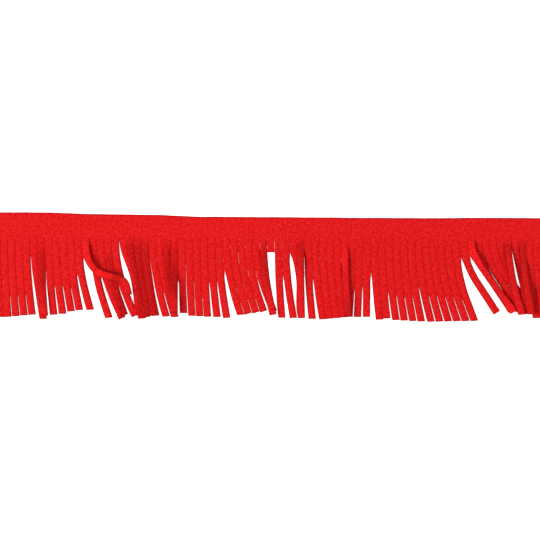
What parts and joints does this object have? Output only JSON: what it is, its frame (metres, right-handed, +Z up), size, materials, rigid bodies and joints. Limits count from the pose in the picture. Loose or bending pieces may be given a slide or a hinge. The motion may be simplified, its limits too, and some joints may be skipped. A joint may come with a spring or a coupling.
{
  "type": "fringe trim",
  "caption": "Straight cut length of one-piece faux-suede fringe trim: an uncut band with its other side slit into flat strands, which lie bent and overlapping",
  "frame": {"origin": "middle of the trim's plan, on the surface that it lies on", "axes": "+X along the uncut band, +Y from the strands to the band's plain edge, +Z up out of the surface, face side up"},
  "size_m": [0.3018, 0.0524, 0.0051],
  "materials": {
    "suede": "matte, short nap, red through its thickness"
  },
  "bodies": {
    "root": {"fringe_trim": "suede"}
  },
  "joints": []
}
